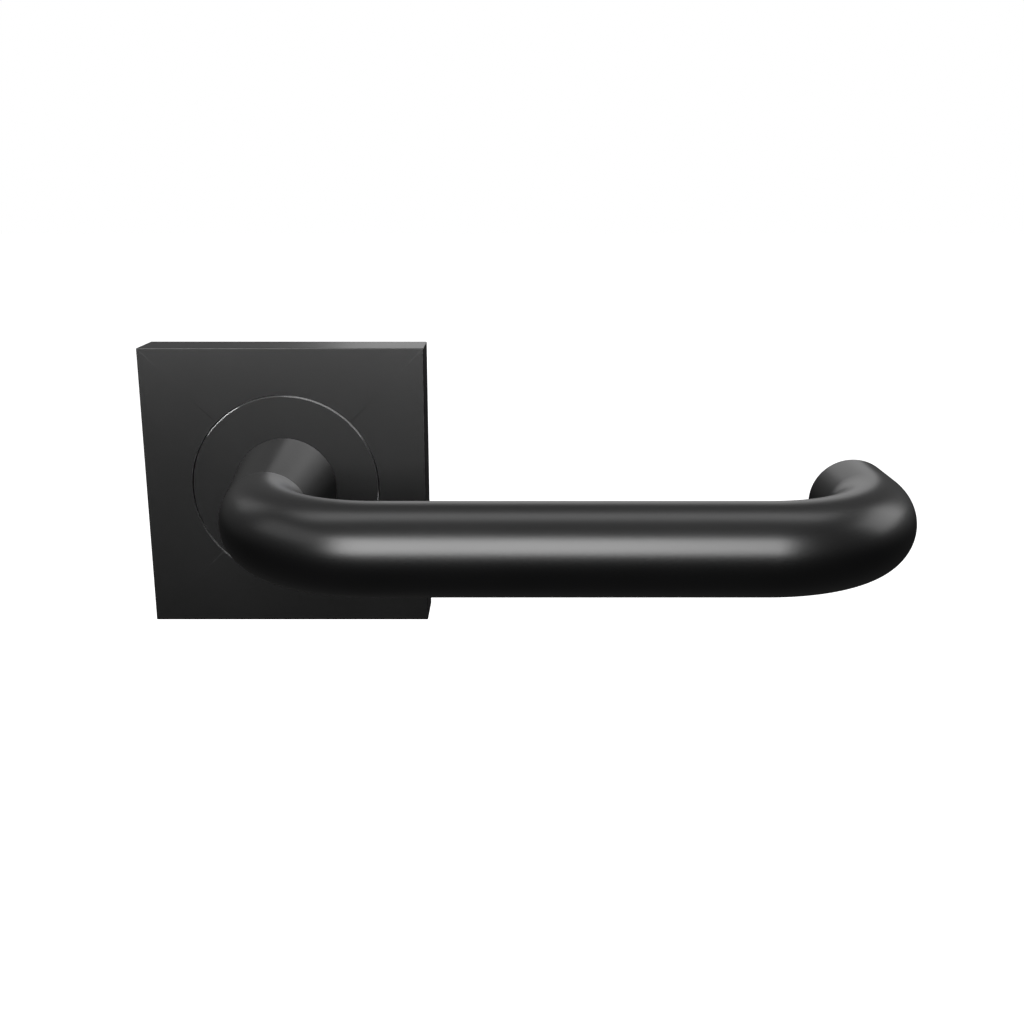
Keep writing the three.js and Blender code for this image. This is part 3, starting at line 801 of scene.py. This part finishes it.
def makeDriveDisc(settings):
    low, high = span("drive_disc")
    plateFront = span("mounting_plate")[0].y
    back = low.y + settings["flange"]
    step = plateFront - settings["plateGap"]
    hub, journal = settings["hub"], settings["journal"]
    groove, grooveFront, grooveBack = settings["groove"]
    edge, hubEdge, grooveEdge = settings["edge"], settings["hubEdge"], settings["grooveEdge"]
    piece = turned("drive_disc_cast", [
        (nearAxis, low.y), (high.x, low.y, edge), (high.x, back, edge), (hub, back, hubEdge),
        (hub, step, 0.1), (journal, step, 0.05), (journal, grooveFront, grooveEdge),
        (groove, grooveFront, grooveEdge), (groove, grooveBack, grooveEdge),
        (journal, grooveBack, grooveEdge), (journal, high.y, hubEdge), (nearAxis, high.y),
    ])
    pegEnd = low.y + settings["pegLength"]
    peg = turned("peg", [(settings["peg"], low.y + 0.2), (settings["peg"], pegEnd, 0.2), (nearAxis, pegEnd)],
                 count=32)
    carve(piece, [moved(peg, x=-settings["pegPlace"])], "UNION")
    half = settings["socket"] / 2
    corner = settings["socketCorner"]
    flare = settings["socketFlare"]
    cutters = [loft("cutter", [
        squareLoop(half + 1, 2 * corner, low.y + flare - 1),
        squareLoop(half, corner, low.y + flare),
        squareLoop(half, corner, high.y - flare),
        squareLoop(half + 1, 2 * corner, high.y - flare + 1),
    ])]
    for pin in upperAndLower("stop_pin"):
        pinLow, pinHigh = span(pin)
        middle = (pinLow + pinHigh) / 2
        circle = Vector((middle.x, middle.z)).length
        angle = atan2(middle.z, middle.x) * 180 / pi
        margin = asin(((pinHigh.x - pinLow.x) / 2 + settings["notchGap"]) / circle) * 180 / pi
        outline = arc(high.x + 1, angle - margin, angle + settings["travel"] + margin, 24)
        outline += arc(settings["notchInside"], angle + settings["travel"] + margin, angle - margin, 24)
        cutters.append(plateFrom("cutter", [outline], low.y - 1, back + 0.4, 0.01))
    carve(piece, cutters)
    finish(piece, "drive_disc", "lever", castZinc, "zinc")


makeDriveDisc(rotor)

circlip = {
    "opening": 26,  # degrees, at the bottom
    "fit": 0.05,
    "ear": 1.35,
    "earPlace": 9.9,
    "earAngle": 17,
    "earReach": 9,  # degrees that each ear takes of the outer edge
    "hole": 0.6,
    "edge": 0.06,
}


def makeRetainingRing(settings):
    # an open ring with a pierced ear at each side of its opening
    low, high = span("retaining_ring")
    outer = high.x
    inner = rotor["groove"][0] + settings["fit"]
    half = settings["opening"] / 2
    middle = settings["earAngle"]
    place = settings["earPlace"]
    earEnd = middle + settings["earReach"]
    outline = arc(outer, earEnd - 90, 270 - earEnd, 72)
    earX = place * sin(radians(middle))
    earZ = -place * cos(radians(middle))
    outline += arc(settings["ear"], 190, 330, 12, -earX, earZ)
    outline += arc(inner, 270 - half, half - 90, 72)
    outline += arc(settings["ear"], 210, 350, 12, earX, earZ)
    holes = [arc(settings["hole"], 0, 345, 23, side * earX, earZ) for side in (-1, 1)]
    piece = plateFrom("retaining_ring_stamped", [outline] + holes, low.y, high.y, settings["edge"])
    finish(piece, "retaining_ring", "lever", springSteel, "spring_steel")


makeRetainingRing(circlip)


def makeWasher(name, node, body, inner, edge):
    # a plain round ring of nylon, with its corners eased
    low, high = span(node)
    piece = turned(name, [(inner, low.y, edge), (high.x, low.y, edge), (high.x, high.y, edge),
                          (inner, high.y, edge)], ring=True)
    finish(piece, node, body, nylon, "nylon")


makeWasher("thrust_washer_moulded", "thrust_washer", "lever", 7.95, 0.1)
print("lever made")

cover = {
    "wall": 1.2,
    "edge": 0.15,
    "corner": 0.2,
    "innerCorner": 0.9,
    "seamGap": 0.16,
    "seamEdge": 0.1,
    "notch": (7.0, 1.0),  # width and depth of the notch for a blade
}
discShape = {"flangeStep": 1.45, "gap": 0.3, "flange": 0.8, "bore": 9.6, "edge": 0.15}


def seamRadii(gap):
    # the disc's and the opening's radii, either side of the middle of the gap that the frame leaves
    middle = span("cover_disc")[1].x - discShape["flangeStep"] + discShape["gap"] / 2
    return middle - gap / 2, middle + gap / 2


def makeRoseCover(settings):
    low, high = span("rose_cover")
    half = high.x
    edge = settings["edge"]
    inside = half - settings["wall"]
    wallBack = low.y + settings["wall"]
    opening = seamRadii(settings["seamGap"])[1]
    template = squareLoop(half, settings["corner"], 0)
    holeEdge = softened([(opening, wallBack), (opening, low.y, settings["seamEdge"]), (half, low.y)],
                        closed=False)[:-1]
    frontEdge = softened([(0, low.y), (half, low.y, edge), (half, high.y, edge), (0, high.y)],
                         closed=False)[1:-1]
    insideEdge = [(inside + edge, high.y), (inside, high.y - edge), (inside, wallBack)]
    loops = [circleInside(template, p.x, p.y) for p in holeEdge]
    smallest = 0.05  # a corner radius
    loops += [squareLoop(p.x, max(settings["corner"] - (half - p.x), smallest), p.y) for p in frontEdge]
    loops += [squareLoop(size, settings["innerCorner"], y) for size, y in insideEdge]
    piece = loft("cover_shell", loops, ring=True)
    width, depth = settings["notch"]
    blade = roundedBox(width, 2 * settings["wall"] + 2, 0.3)
    notch = plateFrom("cutter", [blade], high.y - depth, high.y + 1, 0.02)
    moved(notch, z=-half + settings["wall"] / 2)
    carve(piece, [notch])
    finish(piece, "rose_cover", "rose", black, "black_coat")
    piece.data.materials.append(blackInside)
    near = 0.05
    for face in piece.data.polygons:
        x, y, z = face.center / mm
        if max(abs(x), abs(z)) < inside + near and y > wallBack - near:
            face.material_index = 1


makeRoseCover(cover)


def makeCoverDisc(settings):
    low, high = span("cover_disc")
    bore = settings["bore"]
    radius = seamRadii(cover["seamGap"])[0]
    flangeFront = high.y - settings["flange"]
    piece = turned("cover_disc_turned", [
        (bore, low.y, 0.05), (radius, low.y, cover["seamEdge"]), (radius, flangeFront, 0.05),
        (high.x, flangeFront, 0.1), (high.x, high.y, settings["edge"]),
        (bore, high.y, settings["edge"]),
    ], ring=True, count=192)
    finish(piece, "cover_disc", "rose", blackPaintedGlints, "black_coat")


makeCoverDisc(discShape)
makeWasher("neck_bush_moulded", "neck_bush", "rose", 8.08, 0.15)

plate = {
    "corner": 2.0,
    "edge": 0.25,
    "hubHole": 8.1,
    "boltHole": 2.3,
    "spigot": 4.0,
    "spigotFoot": 0.35,  # the fillet between a spigot and the plate
    "spigotEdge": 0.3,
    "screwHole": 1.9,
    "screwHead": 3.9,
    "earHole": 1.65,
    "earHead": 3.0,
    "pinHole": 1.06,
    "holeEdge": 0.2,
    "pinHoleEdge": 0.05,
}


def makeMountingPlate(settings):
    low, high = span("mounting_plate")
    front = low.y
    back = 0.0
    outline = roundedBox(high.x - low.x, high.z - low.z, settings["corner"], 8)
    piece = plateFrom("mounting_plate_pressed", [outline], front, back, settings["edge"])
    bolts = leftAndRight("through_bolt")
    radius, foot = settings["spigot"], settings["spigotFoot"]
    spigotFront = front + 0.4
    spigots = []
    for bolt in bolts:
        spigot = turned("spigot", [
            (nearAxis, spigotFront), (radius, spigotFront), (radius, -0.02), (radius + foot, -0.02),
            (radius + 0.1, 0.1), (radius, foot), (radius, high.y, settings["spigotEdge"]),
            (nearAxis, high.y),
        ], count=64)
        spigots.append(placed(spigot, bolt))
    carve(piece, spigots, "UNION")
    edge = settings["holeEdge"]
    cutters = [holeCutter(settings["hubHole"], front, back, edge, 96)]
    cutters += [placed(holeCutter(settings["boltHole"], front, high.y, edge), bolt) for bolt in bolts]
    cutters += [placed(holeCutter(settings["pinHole"], front, back, settings["pinHoleEdge"]), pin)
                for pin in upperAndLower("stop_pin")]
    head, hole = settings["screwHead"], settings["screwHole"]
    frontSink = [(head + 0.5, front - 0.5), (head, front), (hole, back - 0.1), (hole + 0.6, back + 0.5)]
    head, hole = settings["earHead"], settings["earHole"]
    backSink = [(hole, front - 1), (hole, front + 0.35), (head, back - 0.02), (head + 0.5, back + 0.5)]
    for stem, sink in (("wood_screw", frontSink), ("housing_screw", backSink)):
        cutters += [placed(turned("cutter", sink, count=48), node) for node in upperAndLower(stem)]
    carve(piece, cutters)
    finish(piece, "mounting_plate", "rose", rolledZinc, "zinc")


makeMountingPlate(plate)

housing = {
    "bore": 13.3,
    "lidBore": 8.4,
    "ear": 3.2,
    "earHole": 1.65,
    "edge": 0.12,
    "slot": (9.0, 2.7),  # for the spring's fixed leg
    "slotDepth": 1.7,
    "slotPlace": 11,
    "slotDrop": 0.8,
}


def housingOutline(high, ear):
    # a circle with an ear above and below it, anticlockwise from the right
    radius = high.x
    earZ = high.z - ear
    meet = acos(ear / radius) * 180 / pi
    points = arc(radius, -meet, meet, 48)
    points += arc(ear, 0, 180, 20, 0, earZ)
    points += arc(radius, 180 - meet, 180 + meet, 48)
    points += arc(ear, 180, 360, 20, 0, -earZ)
    return points


def makeHousing(settings):
    for node, name, bore, material, slot in (
            ("spring_housing", "spring_housing_cast", settings["bore"], castZinc, "zinc"),
            ("housing_lid", "housing_lid_stamped", settings["lidBore"], rolledSteel, "steel")):
        low, high = span(node)
        outlines = [housingOutline(high, settings["ear"]), arc(bore, 0, 356.25, 95)]
        for screw in upperAndLower("housing_screw"):
            x, z = centreOf(screw)
            outlines.append(arc(settings["earHole"], 0, 345, 23, x, z))
        piece = plateFrom(name, outlines, low.y, high.y, settings["edge"])
        if node == "spring_housing":
            width, height = settings["slot"]
            outline = roundedBox(width, height, 0.3)
            channel = plateFrom("cutter", [outline], high.y - settings["slotDepth"], high.y + 1, 0.02)
            place = span("return_spring")[0].z + height / 2 - settings["slotDrop"]
            carve(piece, [moved(channel, x=settings["slotPlace"], z=place)])
        finish(piece, node, "rose", material, slot)


makeHousing(housing)

coil = {
    "radius": 9.6,
    "across": 1.8,
    "thick": 1.1,
    "pitch": 1.2,
    "corner": 0.22,
    "fixedAngle": -92.5,
    "pegMargin": 0.2,
    "turns": 3,
    "fixedLeg": 9.8,
    "movingLeg": 6.6,
    "stepsPerTurn": 72,
    "cutEnd": (0.15, 0.88, 0.8),  # at each leg's end: how long its chamfer is, and its width and height
    "stillShare": 1.05,  # of the wire's thickness at each end, which doesn't twist with the coils
}


def makeSpring(settings):
    # From its fixed leg, at the door, the coil winds clockwise towards the room, as the room sees it.
    low, high = span("return_spring")
    thick = settings["thick"]
    front = low.y + thick / 2
    radius = settings["radius"]
    pegSide = radius + settings["across"] / 2 + settings["pegMargin"] + rotor["peg"]
    moving = 180 + acos(pegSide / rotor["pegPlace"]) * 180 / pi - 360 * settings["turns"]
    fixed = settings["fixedAngle"]
    steps = int((fixed - moving) / 360 * settings["stepsPerTurn"])
    rise = settings["pitch"] * (fixed - moving) / 360
    up = Vector((0, 1, 0))
    path = []
    for i in range(steps + 1):
        angle = radians(fixed + (moving - fixed) * i / steps)
        outwards = Vector((cos(angle), 0, sin(angle)))
        path.append((outwards * radius + up * (front + rise * (1 - i / steps)), outwards, up))
    along = [Vector((sin(radians(a)), 0, -cos(radians(a)))) for a in (fixed, moving)]
    first, last = path[0], path[-1]
    chamfer, narrow, thin = settings["cutEnd"]
    start = [(first[0] - along[0] * (settings["fixedLeg"] - back), first[1], up) for back in (0, chamfer)]
    end = [(last[0] + along[1] * (settings["movingLeg"] - back), last[1], up) for back in (chamfer, 0)]
    path = start + path + end
    section = roundedBox(settings["across"], thick, settings["corner"])
    small = [(a * narrow, b * thin) for a, b in section]
    loops = []
    for i, (centre, across, upwards) in enumerate(path):
        outline = small if i in (0, len(path) - 1) else section
        loops.append([centre + across * a + upwards * b for a, b in outline])
    piece = loft("return_spring_wound", loops)
    piece.data.materials.append(springSteel)
    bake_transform(piece)
    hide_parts("return_spring")
    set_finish(piece, "spring_steel")


makeSpring(coil)


def makePins():
    for node in upperAndLower("stop_pin"):
        low, high = span(node)
        radius = (high.x - low.x) / 2
        profile = [(nearAxis, low.y), (radius, low.y, 0.25), (radius, high.y, 0.2), (nearAxis, high.y)]
        piece = turned(node + "_turned", profile, count=40)
        finish(placed(piece, node), node, "rose", steel, "steel")


makePins()


def recess(face, reach, depth, width=1.0):
    # a cross recess that narrows as it gets deeper
    return loft("cutter", [crossLoop(reach + 0.3, width + 0.3, face - 0.35), crossLoop(reach, width, face),
                           crossLoop(reach * 0.45, width * 0.7, face + depth)])


def makeScrew(node, before, thread, after, cutter, material, slot):
    piece = threadedBody(node + "_threaded", before, thread, after, count=40)
    carve(piece, [cutter], sharp=40)
    finish(placed(piece, node), node, "rose", material, slot)


# of each screw: radii, the thread's pitch, and the reach, depth and width of the head's cross recess
housingScrews = {"shank": 1.35, "root": 1.1, "head": 2.7, "pitch": 0.5, "thread": (0.4, 4.4),
                 "recess": (1.6, 1.0, 0.8)}
throughBolts = {"shank": 1.9, "root": 1.6, "head": 3.3, "pitch": 0.7, "rim": 2.6, "headDepth": 2.1,
                "plain": 9.0, "recess": (1.9, 1.5)}
woodScrews = {"shank": 1.6, "root": 1.0, "head": 3.4, "pitch": 1.5, "headDepth": 1.85, "plain": 3.2,
              "recess": (1.9, 1.4)}


def makeHousingScrews(settings):
    # countersunk from the plate's back, so the recess faces the door
    shank, root, head = settings["shank"], settings["root"], settings["head"]
    for node in upperAndLower("housing_screw"):
        low, high = span(node)
        face = high.y
        start, end = [low.y + place for place in settings["thread"]]
        thread = {"front": start, "back": end, "pitch": settings["pitch"], "root": constant(root),
                  "crest": constant(shank)}
        after = [(root, end + 0.1), (shank, end + 0.4), (shank, -head + shank - 0.1),
                 (head - 0.1, face - 0.1), (head - 0.2, face)]
        cutter = moved(recess(0, *settings["recess"]), y=face, turn=Matrix.Rotation(pi, 4, "X"))
        makeScrew(node, [(root - 0.3, low.y)], thread, after, cutter, steel, "steel")


def makeThroughBolts(settings):
    shank, root, head, rim = settings["shank"], settings["root"], settings["head"], settings["rim"]
    start = settings["plain"]
    for node in leftAndRight("through_bolt"):
        low, high = span(node)
        face = low.y
        seat = face + settings["headDepth"]
        before = [(rim - 0.9, face), (rim - 0.25, face + 0.1), (rim + 0.3, face + 0.4),
                  (head - 0.05, face + 1.0), (head, face + 1.2), (head, seat - 0.1), (head - 0.1, seat),
                  (shank + 0.1, seat), (shank, seat + 0.1), (shank, start - 0.4), (root, start)]
        thread = {"front": start + 0.1, "back": high.y - 0.6, "pitch": settings["pitch"],
                  "root": constant(root), "crest": constant(shank)}
        tip = [(root - 0.05, high.y - 0.3), (root - 0.4, high.y)]
        makeScrew(node, before, thread, tip, recess(face, *settings["recess"]), turnedZinc, "zinc")


def makeWoodScrews(settings):
    shank, root, head = settings["shank"], settings["root"], settings["head"]
    start = settings["plain"]

    def tapered(radius, least, slope, point):
        # a radius that gets smaller towards the screw's point
        return lambda y: min(radius, least + (point - y) * slope)

    for node in upperAndLower("wood_screw"):
        low, high = span(node)
        face = low.y
        point = high.y
        thread = {"front": start + 0.1, "back": point - 0.5, "pitch": settings["pitch"],
                  "root": tapered(root, 0.04, 0.15, point), "crest": tapered(shank, 0.06, 0.25, point)}
        before = [(head - 0.2, face), (head, face + 0.12), (head - 0.02, face + 0.2),
                  (shank, face + settings["headDepth"]), (shank * 0.9, start - 0.6), (root, start)]
        cutter = recess(face, *settings["recess"])
        makeScrew(node, before, thread, [(0.03, point)], cutter, turnedZinc, "zinc")


makeHousingScrews(housingScrews)
makeThroughBolts(throughBolts)
makeWoodScrews(woodScrews)

sleeve = {
    "body": 3.2,
    "head": 4.2,
    "headDepth": 2.0,
    "headRim": 1.2,
    "headSlope": 0.8,
    "bore": 2.0,
    "boreChamfer": 0.5,
    "boreEnd": 1.6,  # in front of the head
    "slot": (1.0, 0.85),
    "flutes": 16,
    "flute": 0.3,
    "fluteLength": 5.6,
}


def makeSleeves(settings):
    body, head, bore = settings["body"], settings["head"], settings["bore"]
    chamfer = settings["boreChamfer"]
    for node in leftAndRight("bolt_sleeve"):
        low, high = span(node)
        neckY = high.y - settings["headDepth"]
        boreEnd = neckY - settings["boreEnd"]
        piece = turned(node + "_turned", [
            (bore, low.y + chamfer), (bore + chamfer, low.y, 0.05), (body, low.y, 0.3),
            (body, neckY, 0.1), (head, neckY, 0.12), (head, neckY + settings["headRim"], 0.2),
            (head - settings["headSlope"], high.y, 0.3), (nearAxis, high.y), (nearAxis, boreEnd + 0.6),
            (bore, boreEnd),
        ], ring=True)
        width, depth = settings["slot"]
        cutters = [plateFrom("cutter", [roundedBox(11, width, 0.1)], high.y - depth, high.y + 1, 0.02)]
        radius = settings["flute"]
        start = neckY - settings["fluteLength"]
        profile = [(nearAxis, start), (radius, start + 0.6), (radius, neckY - 0.2), (nearAxis, neckY - 0.15)]
        for i in range(settings["flutes"]):
            # flutes under the head that bite into the door
            turn = Matrix.Rotation(2 * pi * i / settings["flutes"], 4, "Y")
            flute = moved(turned("cutter", profile, count=10), x=body + 0.12)
            cutters.append(moved(flute, turn=turn))
        carve(piece, cutters)
        finish(placed(piece, node), node, "rose", turnedZinc, "zinc")


makeSleeves(sleeve)

clip = {
    "thick": 0.5,
    "width": 12,
    "corner": 0.06,
    "slot": (5.0, 1.4),
    "slotPlace": 2.7,
    # from the foot's end to the leg's tip: how far in from the wall, and how far in front of the foot
    "line": [(4.3, 0), (1.4, 0), (0.9, 0.25), (0.7, 0.7), (0.3, 1.9), (0.06, 2.7), (0, 3.2), (0.06, 3.7),
             (0.3, 4.5)],
    "tip": 0.7,
}


def makeClips(settings):
    # a bowed strip of spring steel: its foot lies on the plate and its leg presses on the cover's wall
    thick = settings["thick"]
    half = settings["width"] / 2
    upright = Matrix(((0, 1, 0, 0), (0, 0, 1, 0), (1, 0, 0, 0), (0, 0, 0, 1)))
    for node, angle in zip(upperAndLower("cover_clip"), (0, pi)):
        low, high = span(node)
        wall = max(abs(low.z), abs(high.z))
        foot = high.y
        line = [(wall - inwards, foot - forwards) for inwards, forwards in settings["line"]]
        line.append((wall - settings["tip"], low.y))
        outline = line + [(z - thick, max(y, low.y)) if y < foot - 0.3 else (z - 0.1, y - thick)
                          for z, y in reversed(line)]
        piece = moved(plateFrom(node + "_bent", [outline], -half, half, settings["corner"]), turn=upright)
        width, depth = settings["slot"]
        slot = roundedBox(width, depth, depth / 2 - 0.01, 5)
        cutter = plateFrom("cutter", [slot], foot - 2, foot + 1, 0.02)
        carve(piece, [moved(cutter, z=wall - settings["slotPlace"])])
        moved(piece, turn=Matrix.Rotation(angle, 4, "Y"))
        finish(piece, node, "rose", springSteel, "spring_steel")


makeClips(clip)
print("rose made")

studio = {
    # each softbox: bearing from the room side towards the lever's free end, height in degrees, distance,
    # width and height in metres, and watts
    "key": (-5.5, 22.0, 1.1, (1.04, 0.72), 24.0),
    "right": (107.0, 24.0, 1.2, (0.78, 0.55), 3.1),
    "left": (-72.0, 30.0, 1.2, (0.97, 0.51), 1.7),
    "behind": (-128.0, 28.0, 1.2, (0.34, 0.42), 0.4),
    "rear": (174.0, 15.0, 4.0, (2.05, 1.75), 9.6),
    "fill": (195.0, 16.0, 1.5, (2.8, 2.2), 11.0),
    "top": (180.0, 82.0, 1.0, (1.4, 0.39), 3.9),
    "aim": (0.04, -0.03, 0),
    "sky": [(0.0, 0.07), (0.25, 0.03), (0.42, 0.018), (0.52, 0.12), (0.62, 0.21), (0.85, 0.27), (0.96, 0.5)],
    "floorHeight": -0.42,
    "floorSize": 24.0,
    "floorGlow": 0.8,
}


def addSoftbox(name, settings):
    bearing, height, distance, size, power = settings[name]
    aim = Vector(settings["aim"])
    level = cos(radians(height))
    towards = Vector((sin(radians(bearing)) * level, -cos(radians(bearing)) * level, sin(radians(height))))
    data = bpy.data.lights.new(name, "AREA")
    data.shape = "RECTANGLE"
    data.size, data.size_y = size
    data.energy = power
    light = bpy.data.objects.new(name, data)
    light.location = aim + towards * distance
    light.rotation_euler = towards.to_track_quat("Z", "Y").to_euler()
    bpy.context.collection.objects.link(light)
    return light


def addWorld(settings):
    # a white backdrop behind the object, and a dim room, darker below, for everything else
    world = bpy.data.worlds.new("studio")
    world.use_nodes = True
    tree = world.node_tree
    shade = tree.nodes["Background"]
    direction = Wire(tree, tree.nodes.new("ShaderNodeTexCoord").outputs["Generated"])
    height = direction.add("SeparateXYZ", {}, {"Vector": direction}, "Z")
    stops = [(place, (level, level, level, 1)) for place, level in settings["sky"]]
    room = height.add("ValToRGB", {"stops": stops}, {"Fac": height * 0.5 + 0.5})
    ray = direction.add("LightPath", {}, {}, "Is Camera Ray")
    backdrop = ray.blend(room, (1.0, 1.0, 1.0, 1))
    backdrop.plug(shade.inputs["Color"], backdrop)
    bpy.context.scene.world = world


def addFloor(settings):
    size = settings["floorSize"] / 2
    height = settings["floorHeight"]
    mesh = bpy.data.meshes.new("floor")
    corners = [(-size, -size, height), (size, -size, height), (size, size, height), (-size, size, height)]
    mesh.from_pydata(corners, [], [(0, 1, 2, 3)])
    floor = bpy.data.objects.new("floor", mesh)
    bpy.context.collection.objects.link(floor)
    material = bpy.data.materials.new("pale_floor")
    material.use_nodes = True
    shader = material.node_tree.nodes["Principled BSDF"]
    shader.inputs["Base Color"].default_value = (0.9, 0.9, 0.9, 1)
    shader.inputs["Roughness"].default_value = 0.8
    shader.inputs["Emission Color"].default_value = (1.0, 1.0, 1.0, 1)
    shader.inputs["Emission Strength"].default_value = settings["floorGlow"]
    mesh.materials.append(material)
    floor.visible_glossy = False
    floor.visible_diffuse = False


addWorld(studio)
addFloor(studio)
for box in ("key", "right", "left", "behind", "top"):
    addSoftbox(box, studio)
linked = {name: bpy.data.collections.new(name) for name in ("hardware", "stage_only")}
linked["stage_only"].objects.link(bpy.data.objects["floor"])
for piece in bpy.data.objects:
    if piece.get("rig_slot", "black_coat") != "black_coat":
        linked["hardware"].objects.link(piece)
rear = addSoftbox("rear", studio)  # it skims over the lever from behind, past the rose
rear.light_linking.blocker_collection = linked["stage_only"]
fill = addSoftbox("fill", studio)  # for the bare metal and nylon at the back
fill.light_linking.receiver_collection = linked["hardware"]
bpy.context.scene.view_settings.view_transform = "Standard"
print("studio lit")
